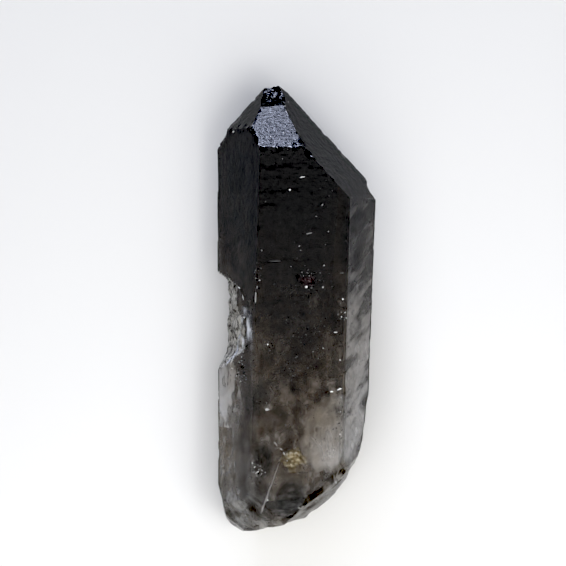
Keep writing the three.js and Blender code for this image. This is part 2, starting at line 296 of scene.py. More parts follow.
RINGS = {"base": 70, "sides": 150, "point": 92}  # rings of the grid in each stretch
COLUMNS = 312
SIDE_WIDTHS = (13.6, 8.5, 15.4, 13.6, 8.5, 15.4)
BASE_HEART = np.array([-1.2, -27.0, 9.4])  # the rays of the base fan out from here
POINT_HEART = np.array([-1.2, 17.0, 9.6])  # and those of the point from here
BASE_POLE = np.array([-3.0, -40.0, 8.6])
POINT_POLE = np.array([-3.4, 40.0, 9.2])
EDGE_REACH = 0.17  # how far a point of the grid is moved to lie on an edge
COARSE = {"step": 2.0, "steps": 16, "halvings": 8}  # the two searches along a ray, in mm
FINE = {"step": 0.7, "steps": 5, "halvings": 9}
STEP_BACK = 2.1  # mm from what the first finds to where the second starts
FAN_TRIES = 90  # turns that a fan is first tried at, in one of so many columns
FAN_SKIP = 8


def across(turn):
    """The direction at an azimuth from +Z towards +X, square to the long axis."""
    angle = np.radians(turn)
    return np.array([np.sin(angle), 0, np.cos(angle)])


def grain(points, size, seed):
    """Smooth random relief between -1 and 1: random numbers on a cubic lattice of the given size, blended
    between the eight corners of each point's cell."""
    cell = points / size + SEED_CELLS * seed
    corner = np.floor(cell)
    share = cell - corner
    share = share * share * (3 - 2 * share)
    total = 0
    for step in np.ndindex(2, 2, 2):
        spot = np.sin((corner + step) @ LATTICE) * SCATTER
        weight = np.prod(np.where(step, share, 1 - share), axis=-1)
        total = total + weight * (spot - np.floor(spot))
    return 2 * total - 1


def relief(points):
    """The relief of the surfaces near each point, from grains of several sizes: the roughness of breaks, the
    bend of the ripples round a blow, the notches of the edges, and for each grown side how far it lies below
    its plane, as a saw tooth after each ledge, fine lines across and a slow swell."""
    rough = sum(height * grain(points, size, seed) for size, height, seed in ROUGH)
    bend = BEND * grain(points, BEND_MM, seed=4)
    y = points[..., 1]
    for size, height, seed in SWAY:
        y = y + height * grain(points, size, seed)
    lines = np.stack([points[..., 0] * LINE_RUN, y, points[..., 2] * LINE_RUN], -1)
    lines = LINE_DEPTH * np.clip(grain(lines, LINE_MM, seed=5) - LINE_LEAST, 0, 1)
    swell = sum(height * (1 + grain(points, size, seed)) for size, height, seed in SWELL)
    notch = 0
    for size, height, seed, least in NOTCHES:
        notch = notch + height * np.clip(grain(points, size, seed) - least, 0, 1)
    low = {"edge": notch * np.where(points[..., 1] > RAGGED_FROM, RAGGED, CALM)}
    for turn, _, _ in PRISM_FACES:
        low[turn] = lines + swell
        for face, start, deep in LEDGES:
            share = (y - start) * LEDGE_SLOPE / deep
            low[turn] = low[turn] + (face == turn) * deep * np.where((share > 0) & (share < 1), 1 - share, 0)
    low[0] = low[0] + TOP_LOW
    low[180] = 0
    return rough, bend, low


def heights(points, rough, bend, low):
    """The height of each point above every surface that bounds the crystal, in mm, as rows: a point is in the
    crystal where all are negative. Planes give their distance, the wear of the edges lies just below the two
    highest planes where they are close, balls give the depth inside them, and the hollows and the scar give
    the least of the surfaces that bound them."""
    rows = []
    for turn, reach, taper in PRISM_FACES:
        out = across(turn) - (0, taper, 0)
        rows.append((points @ out - reach) / np.linalg.norm(out) + low[turn])
    lean = np.radians(POINT_ANGLE)
    for turn, beyond in POINT_FACES:
        out = across(turn) * np.cos(lean) + (0, np.sin(lean), 0)
        rows.append((points - APEX) @ out - beyond)
    high_two = np.sort(rows, axis=0)[-2:]
    near = np.clip(1 + high_two[0] / EDGE_WEAR, 0, 1)
    rows.append(high_two[1] + WEAR_DEPTH * (near * low["edge"] - WEAR_LEAST))
    for out, at, deep in BREAKS:
        out = np.array(out) / np.linalg.norm(out)
        away = points - at
        ripple = np.sin(RIPPLE_TURN * np.linalg.norm(away, axis=-1) + bend)
        rows.append(away @ out + deep * (ROUGH_SHARE * rough + RIPPLE_SHARE * ripple))
    for at, radius in CHIPS:
        away = np.linalg.norm(points - at, axis=-1)
        rows.append(radius + (TIP_ROUGH if at[1] > TIP_FROM else CHIP_ROUGH) * rough - away)
    for at, half, turn in HOLLOWS:
        away = points - at
        cos, sin = np.cos(turn), np.sin(turn)
        long = (cos * away[..., 0] + sin * away[..., 1]) / half[0]
        wide = (cos * away[..., 1] - sin * away[..., 0]) / half[1]
        size = np.sqrt(long**2 + wide**2 + (away[..., 2] / half[2]) ** 2)
        rows.append((1 + HOLLOW_ROUGH * rough - size) * min(half))
    wall = (points - SCAR_AT) @ SCAR_OUT
    out = np.clip((SCAR_FLOOR - points[..., 1]) / (SCAR_FLOOR - SCAR_END), 0, 1)
    wall = wall - SCAR_RELIEF * rough - SCAR_DEPTH * out * out * (3 - 2 * out)
    steep = SCAR_TOP + SCAR_LEAN * (SCAR_AT[0] - points[..., 0])
    steep = steep + SCAR_RELIEF / 2 * rough - points[..., 1]
    rows.append(np.minimum(wall, steep))
    pits = np.full(points.shape[:-1], NO_PIT)
    for x, y, radius in TOP_PITS:
        pits = np.maximum(pits, PIT_SLOPE * (radius - np.hypot(points[..., 0] - x, points[..., 1] - y)))
    rows.append(points[..., 2] - THICKNESS + pits)
    return np.array(rows)


RIGHT_SIDE = 1  # rows of heights: the second side of the prism
ETCHED = len(PRISM_FACES)  # the front face of the point
SHADE_PAINTED_SIDES = (ETCHED + 1, ETCHED + 5)  # the two faces beside it, whose reflection is taken away as painted shade
GROWN = len(PRISM_FACES) + len(POINT_FACES)  # the number of grown faces, whose rows come first
SMOOTH = (0.0, 0.0, dict.fromkeys([turn for turn, _, _ in PRISM_FACES] + ["edge"], 0.0))


def last_inside(hearts, ways, low, shape, step, steps, halvings):
    """The distance along each ray at which it leaves the crystal: steps out from a distance inside for as
    long as every height is negative, then halves of the stretch in which one turns positive."""
    for _ in range(steps):
        inside = heights(hearts + (low + step)[..., None] * ways, *shape).max(0) < 0
        low = low + step * inside
    high = low + step
    for _ in range(halvings):
        middle = (low + high) / 2
        inside = heights(hearts + middle[..., None] * ways, *shape).max(0) < 0
        low = np.where(inside, middle, low)
        high = np.where(inside, high, middle)
    return low


def first_hit(hearts, ways):
    """Where each ray leaves the crystal: found without relief, and again with the relief of that place."""
    smooth = last_inside(hearts, ways, np.zeros(ways.shape[:-1]), SMOOTH, **COARSE)
    shape = relief(hearts + smooth[..., None] * ways)
    return last_inside(hearts, ways, np.maximum(smooth - STEP_BACK, 0), shape, **FINE), shape


def section(y, shares):
    """Points round the prism at a height y: shares run from 0 to 6, a whole number at each long edge, which
    is where two neighbouring sides meet."""
    planes = [(across(t), reach + taper * y) for t, reach, taper in PRISM_FACES]
    edges = []
    for (a, ra), (b, rb) in zip(planes, planes[1:] + planes[:1]):
        edges.append(np.linalg.solve([[a[0], a[2]], [b[0], b[2]]], [ra, rb]))
    edges = np.array(edges + edges[:1])
    side = np.minimum(shares.astype(int), 5)
    part = (shares - side)[:, None]
    flat = edges[side] * (1 - part) + edges[side + 1] * part
    return np.stack([flat[:, 0], np.full(len(shares), y), flat[:, 1]], -1)


def fan(heart, pole, shares, rings):
    """Rays that turn from square to the axis towards a pole, spaced so that they meet the crystal's surface
    at even steps: even turns are tried first, and the mean length of the path that they give is then shared
    out."""
    rim = section(heart[1], shares) - heart
    rim /= np.linalg.norm(rim, axis=-1, keepdims=True)
    axis = (pole - heart) / np.linalg.norm(pole - heart)

    def rays(turns):
        ways = np.cos(turns)[:, None, None] * rim + np.sin(turns)[:, None, None] * axis
        return ways / np.linalg.norm(ways, axis=-1, keepdims=True)

    tries = np.linspace(0, np.pi / 2, FAN_TRIES)
    ways = rays(tries)[:, ::FAN_SKIP]
    hits = first_hit(heart, ways)[0][..., None] * ways
    path = np.linalg.norm(np.diff(hits, axis=0), axis=-1).mean(1)
    path = np.concatenate([[0], np.cumsum(path)])
    turns = np.interp(np.linspace(0, path[-1], rings + 1)[1:-1], path, tries)
    return rays(turns), axis


def spread(count, widths):
    """Shares from 0 to 6 round the prism, the points on each side in proportion to its width."""
    ends = np.concatenate([[0], np.cumsum(widths)]) / sum(widths)
    marks = np.round(ends * count).astype(int)
    return np.concatenate([i + np.arange(b - a) / (b - a) for i, (a, b) in enumerate(zip(marks, marks[1:]))])


def on_edges(grid, shape):
    """Moves each grid point that is close to an edge between two surfaces onto it, by the shortest step that
    makes both heights nothing. Gives each point's own surface too, which is the highest there."""
    tall = heights(grid, *shape)
    own = tall.argmax(0)
    nudge = 1e-3
    flattest = 0.05  # the least square of the sine between two surfaces that make an edge
    slope = np.stack([(heights(grid + nudge * unit, *shape) - tall) / nudge for unit in np.eye(3)], -1)
    rows, columns = np.indices(own.shape)
    best = np.full(own.shape, EDGE_REACH)
    move = np.zeros(grid.shape)
    for axis, step in ((0, 1), (0, -1), (1, 1), (1, -1)):
        other = np.roll(own, step, axis)
        a, b = slope[own, rows, columns], slope[other, rows, columns]
        fa, fb = tall[own, rows, columns], tall[other, rows, columns]
        aa, bb, ab = (a * a).sum(-1), (b * b).sum(-1), (a * b).sum(-1)
        room = aa * bb - ab * ab
        safe = np.where(room < flattest, 1, room)
        u, v = (-fa * bb + fb * ab) / safe, (-fb * aa + fa * ab) / safe
        shift = u[..., None] * a + v[..., None] * b
        size = np.linalg.norm(shift, axis=-1)
        better = (other != own) & (room >= flattest) & (size < best)
        best = np.where(better, size, best)
        move = np.where(better[..., None], shift, move)
    return grid + move, own


def crystal_grid():
    """The crystal's surface as rings of points from the base to the point, and the pole at each end. Each
    point is where a ray from the crystal's axis leaves it."""
    shares = spread(COLUMNS, SIDE_WIDTHS)
    low, base_axis = fan(BASE_HEART, BASE_POLE, shares, RINGS["base"])
    high, point_axis = fan(POINT_HEART, POINT_POLE, shares, RINGS["point"])
    stations = np.linspace(BASE_HEART[1], POINT_HEART[1], RINGS["sides"])
    part = ((stations - stations[0]) / np.ptp(stations))[:, None]
    hearts = BASE_HEART * (1 - part) + POINT_HEART * part
    sides = np.array([section(y, shares) for y in stations]) - hearts[:, None]
    sides /= np.linalg.norm(sides, axis=-1, keepdims=True)
    ways = np.concatenate([low[::-1], sides, high])
    at_base, at_point = np.tile(BASE_HEART, (len(low), 1)), np.tile(POINT_HEART, (len(high), 1))
    starts = np.concatenate([at_base, hearts, at_point])[:, None]
    far, shape = first_hit(starts, ways)
    grid, own = on_edges(starts + far[..., None] * ways, shape)
    poles = ((BASE_HEART, base_axis), (POINT_HEART, point_axis))
    ends = [heart + first_hit(heart, axis)[0] * axis for heart, axis in poles]
    return grid, ends, own


def ringed_mesh(name, grid, ends):
    """A closed mesh: squares between neighbouring rings, and a fan of triangles to the pole at each end."""
    rings, columns = grid.shape[:2]
    points = np.concatenate([grid.reshape(-1, 3), ends])
    mark = np.arange(rings * columns).reshape(rings, columns)
    ahead = np.roll(mark, -1, axis=1)
    squares = np.stack([mark[:-1], ahead[:-1], ahead[1:], mark[1:]], -1).reshape(-1, 4)
    south = np.stack([ahead[0], mark[0], np.full(columns, rings * columns)], -1)
    north = np.stack([mark[-1], ahead[-1], np.full(columns, rings * columns + 1)], -1)
    loops = np.concatenate([squares.ravel(), south.ravel(), north.ravel()])
    sizes = np.concatenate([np.full(len(squares), 4), np.full(2 * columns, 3)])
    mesh = bpy.data.meshes.new(name)
    mesh.vertices.add(len(points))
    points[:, 1] = np.minimum(points[:, 1], TIP_END)
    points[:, 2] = np.clip(points[:, 2], 0, THICKNESS)
    mesh.vertices.foreach_set("co", ((points - MIDDLE) * MM).ravel())
    mesh.loops.add(len(loops))
    mesh.loops.foreach_set("vertex_index", loops)
    mesh.polygons.add(len(sizes))
    mesh.polygons.foreach_set("loop_start", np.concatenate([[0], np.cumsum(sizes)[:-1]]))
    mesh.update(calc_edges=True)
    return mesh


QUARTZ_IOR = 1.544
BODY_TINT = "#a68b45"  # the brown that light takes on in the body of the crystal, and how fast per metre
BODY_DENSITY = 38.0
SMOKE = (  # place along the crystal in mm, and the colour of the light that comes in and out there
    (-52, "#f1efea"),
    (-34, "#d5cec4"),
    (-24, "#b6ab9c"),
    (-15, "#8f8271"),
    (-8, "#685e52"),
    (2, "#48433c"),
    (12, "#353230"),
    (20, "#1f1e1e"),
    (38, "#131313"),
)
CORE = 0.17  # mm that a place counts as nearer the base, for each mm squared across the crystal
CLOUDS_PER_M = 240.0  # clouds in the smoke about 4 mm across, with finer ones in them
CLOUD_SWAY = 22 * MM  # how far a cloud moves the smoke along the crystal, either way
PALE = "#d8d4cf"
LINE_HEIGHT_MM = 0.03  # the finest growth lines, which show only in what the faces mirror
LINE_STRETCH = (0.07, 1.0, 0.07)
SHARP_ANGLE = 18  # degrees between two faces, past which the edge between them is drawn sharp
DIRT_PER_M = 900.0  # patches of dirt about 1 mm across, and where in the noise they begin and end
DIRT_FROM, DIRT_TO = 0.43, 0.57
# For each: name, roughness, paleness, share of light let through, height and grain of its relief in mm, the
# share of its reflection that is kept, and the dark and the light colour of dirt on it.
FINISHES = (
    # Flat and glassy: a clear mirror image, a little broken by growth lines, and a deep look into the body.
    ("smoky quartz, grown faces", 0.04, 0.0, 1.0, 0.045, 0.8, 1.0, None),
    # Satin and uneven: a break leaves fine ripples that blur what is mirrored and what is behind. Only half
    # its reflection is kept, which darkens it.
    ("smoky quartz, broken faces", 0.2, 0.03, 0.96, 0.08, 0.6, 0.5, None),
    # Dull, pitted and half opaque, grey with pale specks, where the neighbour's crust still clings.
    ("smoky quartz, scar crust", 0.4, 0.0, 0.45, 0.2, 0.7, 1.0, ("#453f37", "#e4e1da")),
    # Finely etched: the window's image breaks up into a bright mottled sheen.
    ("smoky quartz, etched face", 0.1, 0.0, 1.0, 0.15, 0.4, 1.0, None),
    # Satin, and pale with the thick veil just under it: a soft milky grey.
    ("smoky quartz, hazy right side", 0.1, 0.54, 1.0, 0.045, 0.8, 1.0, None),
    # No reflection is kept, as painted shade, so that only the dark body shows: nearly black.
    ("smoky quartz, frosted side faces of the point", 0.08, 0.0, 1.0, 0.045, 0.8, 0.0, None),
)


def smoke_colour(tree, pale):
    """The smoke colour at each place: a ramp over the place along the crystal, less CORE times the square of
    the distance across, plus or minus the clouds' sway. Pale lightens it."""
    place = add_node(tree, "ShaderNodeTexCoord").outputs["Object"]
    x, y, _ = add_node(tree, "ShaderNodeSeparateXYZ", Vector=place).outputs
    puffs = {"Scale": CLOUDS_PER_M, "Detail": 7.0, "Roughness": 0.7}
    cloud = add_node(tree, "ShaderNodeTexNoise", puffs, Vector=place).outputs["Fac"]
    wide = add_node(tree, "ShaderNodeMath", {"operation": "MULTIPLY"}, i0=x, i1=x)
    core = add_node(tree, "ShaderNodeMath", {"operation": "MULTIPLY", 1: -CORE / MM}, i0=wide.outputs[0])
    swing = {"operation": "MULTIPLY_ADD", 1: 2 * CLOUD_SWAY, 2: -CLOUD_SWAY}
    sway = add_node(tree, "ShaderNodeMath", swing, i0=cloud)
    along = add_node(tree, "ShaderNodeMath", {"operation": "ADD"}, i0=y, i1=core.outputs[0])
    along = add_node(tree, "ShaderNodeMath", {"operation": "ADD"}, i0=along.outputs[0], i1=sway.outputs[0])
    low, high = SMOKE[0][0], SMOKE[-1][0]
    ends = {"From Min": low * MM, "From Max": high * MM}
    share = add_node(tree, "ShaderNodeMapRange", ends, Value=along.outputs[0])
    ramp = add_node(tree, "ShaderNodeValToRGB", Fac=share.outputs["Result"])
    for i, (at, colour) in enumerate(SMOKE):
        stop = ramp.color_ramp.elements[i] if i < 2 else ramp.color_ramp.elements.new(1.0)
        stop.position = (at - low) / (high - low)
        stop.color = linear(colour)
    lighten = {"data_type": "RGBA", "Factor": pale, 7: linear(PALE)}
    return add_node(tree, "ShaderNodeMix", lighten, i6=ramp.outputs["Color"]).outputs[2]


def quartz(name, roughness, pale, clear, relief_mm, grit_mm, mirror, stain):
    """See-through quartz, with the smoke as absorption in its body and as a tint that changes along it. Its
    bump is fine grit and growth lines. Mirror is the share of its reflection that is kept: less paints the
    face darker, as shade. A stain is the dark and the light colour of dirt in patches all over it."""
    material, out = new_material(name)
    tree = material.node_tree
    place = add_node(tree, "ShaderNodeTexCoord").outputs["Object"]
    grit = {"Scale": 1 / (grit_mm * MM), "Detail": 3.0, "Roughness": 0.55}
    grit = add_node(tree, "ShaderNodeTexNoise", grit, Vector=place)
    deep = {"Strength": 1.0, "Distance": relief_mm * MM}
    bump = add_node(tree, "ShaderNodeBump", deep, Height=grit.outputs["Fac"])
    level = add_node(tree, "ShaderNodeMapping", {"Scale": LINE_STRETCH}, Vector=place)
    lines = {"Scale": 1 / (LINE_MM * MM), "Detail": 3.0}
    lines = add_node(tree, "ShaderNodeTexNoise", lines, Vector=level.outputs["Vector"])
    deep = {"Strength": 1.0, "Distance": LINE_HEIGHT_MM * MM}
    bump = add_node(tree, "ShaderNodeBump", deep, Height=lines.outputs["Fac"], Normal=bump.outputs["Normal"])
    if stain:
        dirt = {"Scale": DIRT_PER_M, "Detail": 6.0, "Roughness": 0.75}
        dirt = add_node(tree, "ShaderNodeTexNoise", dirt, Vector=place)
        ends = {"From Min": DIRT_FROM, "From Max": DIRT_TO}
        steps = add_node(tree, "ShaderNodeMapRange", ends, Value=dirt.outputs["Fac"])
        tones = {"data_type": "RGBA", 6: linear(stain[0]), 7: linear(stain[1])}
        colour = add_node(tree, "ShaderNodeMix", tones, Factor=steps.outputs["Result"]).outputs[2]
    else:
        colour = smoke_colour(tree, pale)
    shader = add_node(
        tree,
        "ShaderNodeBsdfPrincipled",
        {
            "Transmission Weight": clear,
            "IOR": QUARTZ_IOR,
            "Roughness": roughness,
            "Specular Tint": (mirror, mirror, mirror, 1.0),
        },
        Base_Color=colour,
        Normal=bump.outputs["Normal"],
    )
    body = {"Color": linear(BODY_TINT), "Density": BODY_DENSITY}
    smoke = add_node(tree, "ShaderNodeVolumeAbsorption", body)
    tree.links.new(shader.outputs["BSDF"], out.inputs["Surface"])
    tree.links.new(smoke.outputs["Volume"], out.inputs["Volume"])
    return material


def crystal():
    """The whole outer surface. Each face of the mesh takes the finish of the surface that its first corner
    lies on. The last two rows of heights are the scar and the pitted front face, and the second of them is
    grown."""
    grid, ends, own = crystal_grid()
    mesh = ringed_mesh("crystal surface", grid, ends)
    grown, broken, scar, etched, hazy, shade_painted = range(len(FINISHES))
    last = own.max()
    finish = np.full(own.shape, grown, np.int32)
    finish[(own >= GROWN) & (own < last)] = broken
    finish[own == last - 1] = scar
    finish[own == ETCHED] = etched
    finish[own == RIGHT_SIDE] = hazy
    # The two side faces of the point keep none of their reflection: painted shade.
    finish[np.isin(own, SHADE_PAINTED_SIDES)] = shade_painted
    index = np.concatenate([finish[:-1].ravel(), np.full(2 * COLUMNS, broken, np.int32)])
    mesh.polygons.foreach_set("material_index", index)
    mesh.polygons.foreach_set("use_smooth", np.full(len(index), True))
    mesh.set_sharp_from_angle(angle=math.radians(SHARP_ANGLE))
    for facts in FINISHES:
        mesh.materials.append(quartz(*facts))
    body = bpy.data.objects.new("crystal_surface", mesh)
    bpy.context.scene.collection.objects.link(body)
    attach(body, "root")
    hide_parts("crystal")


crystal()


# The veils: healed fractures, sheets of bubbles too small to see, which catch the light as milky wisps. They
# fill the lower half, lie thickest along the right side, and grew in when cracks closed again. With them lie
# the darkest zones of the smoke, where the quartz took up the most aluminium as it grew.

VEIL_STEP = 0.2  # mm between the points of a veil
KNOCK_STEP = 0.1  # and of the small ones beside the scar
HAZE = (  # x, y, half width, half height of milky patches under the upper faces, thickness, edge sharpness
    (5.2, -20.3, 3.8, 6.6, 1.1, 5),
    (0.8, -22.4, 1.6, 1.4, 0.5, 2),
    (4.6, -24.5, 2.2, 3.2, 0.35, 2),
    (-1.4, -14.1, 1.2, 1.4, 0.7, 2),
    (1.4, -11.6, 3.0, 1.7, 0.25, 2),
    (0.9, -17.4, 2.4, 1.9, 0.35, 2),
    (2.6, 2.0, 1.3, 1.1, 0.6, 2),
    (-4.9, -15.9, 0.8, 0.6, 0.6, 2),
    (-3.4, -20.8, 2.6, 1.0, 0.4, 2),
    (-6.2, -33.6, 2.6, 2.4, 0.2, 2),
    (4.0, -30.2, 2.2, 2.0, 0.4, 4),
    # This patch, and the one at x 9 two rows down, whiten two narrow broken facets near the lower right edge:
    # partly milky quartz, and partly their sheen, painted in as haze.
    (7.1, -25.6, 0.5, 2.7, 1.3, 6),
    (5.9, -29.4, 1.0, 1.1, 0.3, 4),
    (9.0, -25.0, 0.8, 2.2, 0.6, 3),
    (-3.6, -6.0, 1.7, 0.7, 0.35, 2),
    (3.6, -9.6, 3.0, 1.6, 0.15, 2),
    (-4.6, -35.6, 4.2, 1.8, 0.5, 3),
    (-12.2, -15.0, 1.5, 4.0, 1.5, 3),
    (-9.8, -33.0, 2.2, 2.8, 0.45, 3),
    (-9.5, -16.5, 0.9, 2.6, 0.3, 2),
)
DARK = (  # the same of the darkest zones of the smoke, and how dark
    (-1.0, -31.3, 2.5, 3.1, 0.9, 9),
    (-5.5, -24.6, 1.9, 3.5, 1.0, 4),
    (-8.6, -22.0, 1.8, 8.0, 0.5, 4),
    (-2.6, -19.0, 2.6, 3.4, 0.4, 3),
    (-6.0, -14.4, 2.2, 3.4, 0.8, 3),
    (-6.0, -31.0, 2.4, 3.0, 0.35, 3),
    (-1.5, -5.6, 5.0, 5.0, 0.3, 3),
    (-8.3, -9.0, 1.2, 6.0, 0.5, 3),
    (-1.5, -24.6, 1.0, 2.4, 0.4, 3),
    (5.0, -27.2, 0.6, 1.6, 0.5, 4),
    (2.2, 5.0, 2.8, 2.0, 0.3, 3),
    (9.2, 12.0, 2.0, 10.5, 0.85, 8),
    (-3.6, 35.6, 3.5, 2.4, 0.85, 6),
    (-8.0, 30.0, 4.0, 5.0, 0.6, 4),
    (4.5, 25.0, 3.0, 7.0, 0.4, 3),
    (-7.6, -30.5, 3.0, 3.6, 0.3, 3),
)
SKEW = np.array([[0.8, -0.6, 0], [0.6, 0.8, 0], [0, 0, 1.0]])  # turns a pattern so that its streaks slant
UP = np.array([0, 0, 1.0])
FROM_HEIGHT = 8.5  # a height that is inside the crystal wherever its upper side is
HAZE_DEPTH, SMOKE_DEPTH = 0.7, 1.6  # mm under the skin
HAZE_ALL = 0.24  # thickness of the haze between its patches
HAZE_FOOT, HAZE_TOP = -36, 14  # y of its ends
DENSEST = 0.95


def on_top(x, y, under=0.0):
    """Points on the upper side of the crystal over each x and y of the finished part, lowered by a depth."""
    start = np.stack([x + MIDDLE[0], y + MIDDLE[1], FROM_HEIGHT + 0 * x], -1)
    far, _ = first_hit(start, np.broadcast_to(UP, start.shape))
    return start + (far - under)[..., None] * UP


def fractal(points, size, seed, octaves=4):
    """Grain at a size and at each half of it, each half as strong."""
    return sum(grain(points, size / 2**i, seed + i) / 2**i for i in range(octaves))


def in_quartz(name, colour):
    """A sheet inside the crystal that scatters or stops light: matt, and only as dense as its cover."""
    material, out = new_material(name)
    tree = material.node_tree
    cover = add_node(tree, "ShaderNodeAttribute", {"attribute_name": "cover"})
    matt = {"Base Color": linear(colour), "Roughness": 0.9, "Specular IOR Level": 0.0}
    shader = add_node(tree, "ShaderNodeBsdfPrincipled", matt, Alpha=cover.outputs["Fac"])
    tree.links.new(shader.outputs["BSDF"], out.inputs["Surface"])
    return material


def sheet_mesh(name, grid, cover):
    """An open sheet: squares between the neighbours of a grid where it is dense enough to see, with how
    dense it is at each point."""
    rows, columns = grid.shape[:2]
    mark = np.arange(rows * columns).reshape(rows, columns)
    squares = np.stack([mark[:-1, :-1], mark[:-1, 1:], mark[1:, 1:], mark[1:, :-1]], -1).reshape(-1, 4)
    squares = squares[cover.ravel()[squares].max(1) > 0.01]
    kept, squares = np.unique(squares, return_inverse=True)
    points = (grid.reshape(-1, 3)[kept] - MIDDLE) * MM
    mesh = bpy.data.meshes.new(name)
    mesh.from_pydata(points.tolist(), [], squares.reshape(-1, 4).tolist())
    dense = mesh.attributes.new("cover", "FLOAT", "POINT")
    dense.data.foreach_set("value", cover.ravel()[kept].astype(np.float32))
    mesh.polygons.foreach_set("use_smooth", np.full(len(mesh.polygons), True))
    mesh.update()
    return mesh


def inner_piece(name, mesh, material):
    """A piece that sits in or on the crystal and goes where it goes."""
    mesh.materials.append(material)
    piece = bpy.data.objects.new(name, mesh)
    bpy.context.scene.collection.objects.link(piece)
    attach(piece, "root")


def flat_grid(middle, long, wide, length, width, bend, seed):
    """A sheet round a middle, along one direction and across another, which swells off its plane by smooth
    relief of a given height. Gives each point's share of the length and of the width from the middle too."""
    long, wide = np.array(long, float), np.array(wide, float)
    long, wide = long / np.linalg.norm(long), wide / np.linalg.norm(wide)
    u = np.linspace(-0.5, 0.5, int(length / VEIL_STEP))[:, None]
    v = np.linspace(-0.5, 0.5, int(width / VEIL_STEP))[None, :]
    grid = np.array(middle) + u[..., None] * length * long + v[..., None] * width * wide
    grid = grid + (bend * fractal(grid, 9, seed, octaves=3))[..., None] * np.cross(wide, long)
    return grid, u + 0 * v, v + 0 * u


def inside(grid, depth):
    """1 where a point lies deeper in the crystal than a depth in mm, falling to 0 at half that depth."""
    return np.clip(-heights(grid, *SMOOTH).max(0) / depth * 2 - 1, 0, 1)


def patches(x, y, noise, table):
    """The sum of soft-edged ovals: each falls off as the exponential of a power of the distance from its
    middle, in half sizes."""
    total = 0 * x
    for at, up, half, tall, much, sharp in table:
        away = np.hypot((x - at) / half, (y - up) / tall) * (1 + 0.15 * noise)
        total = total + much * np.exp(-(away**sharp))
    return total


def haze():
    """Three sheets: a patchy, fine-grained haze that follows the upper faces just below them, the dark zones
    of the smoke under it, and a thinner, nearly flat haze at mid depth. The haze thins out upwards, and where
    it is thick its grain evens out."""
    y, x = np.mgrid[-37.5:37.5:VEIL_STEP, -13.4:13.4:VEIL_STEP]
    skin = on_top(x, y)
    grid = skin - HAZE_DEPTH * UP
    noise = fractal(grid, 1.6, seed=15, octaves=3)
    dark = patches(x, y, noise, DARK)
    thick = HAZE_ALL * np.clip((HAZE_TOP - y) / HAZE_TOP, 0, 1) * np.clip((y - HAZE_FOOT) / 10, 0.15, 1)
    thick = (thick + patches(x, y, noise, HAZE)) * np.clip(1 - dark, 0, 1)
    streaks = fractal(grid * (1, 0.35, 1) @ SKEW, 0.8, seed=31, octaves=3)
    fine = 0.5 + 0.9 * fractal(grid, 2.6, seed=21, octaves=5) + 0.8 * streaks
    fine = fine + 0.8 * np.clip(0.15 - np.abs(fractal(grid, 1.9, seed=41)), 0, 1) / 0.15
    even = np.clip(thick - 0.4, 0, 0.45)
    cover = 1 - np.exp(-1.25 * np.clip(thick, 0, 2) * np.clip(fine * (1 - even) + even, 0, 2))
    yield "veil_front", grid, cover * inside(grid - 0.6 * UP, 0.3), MILKY
    grid = skin - SMOKE_DEPTH * UP
    clouds = 0.6 * np.clip(0.95 * fractal(grid, 2.6, seed=231, octaves=5), 0, 1)
    clouds = clouds * np.clip((18 - np.abs(y + 2)) / 8, 0, 1)
    cover = np.clip(clouds + dark * (0.85 + 0.3 * noise), 0, 0.9)
    yield "smoke_front", grid, cover * inside(grid - 0.4 * UP, 0.5), SMOKY
    deep, along, _ = flat_grid((0.6, -13.0, 10.1), (0, 1, 0), (1, 0, 0), 48, 20, bend=1.2, seed=45)
    x, y = deep[..., 0] - MIDDLE[0], deep[..., 1] - MIDDLE[1]
    fine = np.clip(0.3 + 0.9 * fractal(deep, 4.5, seed=51, octaves=5), 0, 1)
    fine = fine * np.clip(0.6 - 1.3 * along, 0, 1)
    fine = fine * (1 + np.clip(x / 6, -0.8, 1)) * np.clip(1 - patches(x, y, 0, DARK), 0, 1)
    yield "veil_middle", deep, np.clip(0.45 * fine, 0, 0.7) * inside(deep, 0.9), MILKY


SIDE_VEILS = (  # turn of the side, name, y of its ends, thickness, depth, slant of its streaks
    (60, "veil_right", 20, -29, 5.8, 0.5, 11),
    (300, "veil_left", -4, -37, 0.18, 0.9, 4),
    (120, "veil_low_right", 2, -27, 0.4, 1.5, 14),
    (240, "veil_low_left", -6, -34, 0.4, 1.5, 14),
)
SIDE_VEIL_WIDTH = 17
SIDE_VEIL_Z = 9.5  # height of the middle of each


def feathers():
    """A veil along each of the four slanting sides, drawn out into feathery streaks that climb across it:
    noise that changes fast across the streaks and slowly along them. It thins out towards its top."""
    for turn, name, top, foot, much, depth, slant in SIDE_VEILS:
        reach, taper = dict((t, (r, g)) for t, r, g in PRISM_FACES)[turn]
        side = across(turn + 90)
        long = across(turn) * taper + (0, 1, 0)
        hub = across(turn) * (reach + taper * (top + foot) / 2 - depth)
        middle = hub + side * (SIDE_VEIL_Z * UP @ side - hub @ side) + (0, (top + foot) / 2, 0)
        grid, along, over = flat_grid(middle, long, side, top - foot, SIDE_VEIL_WIDTH, 0.3, 61 + turn)
        fast, slow = grid[..., 1] - slant * over, grid[..., 1] + slant * over
        turned = np.stack([fast * 0.6, slow * 0.12, grid[..., 2] * 0.15], -1)
        streak = np.clip(0.6 + 0.95 * fractal(turned, 0.8, 71 + turn), 0.08, 1.7)
        patch = np.clip(0.8 + 0.25 * fractal(grid, 6, 81 + turn, octaves=3), 0, 1)
        fade = np.clip(1.7 * (0.3 - along), 0.07, 1) * np.clip((0.5 + along) * 9, 0, 1)
        yield name, grid, (1 - np.exp(-much * streak * patch * fade)) * inside(grid, 0.4), MILKY


FEATHER_FROM = (6.6, -27.0)  # the corner it spreads from


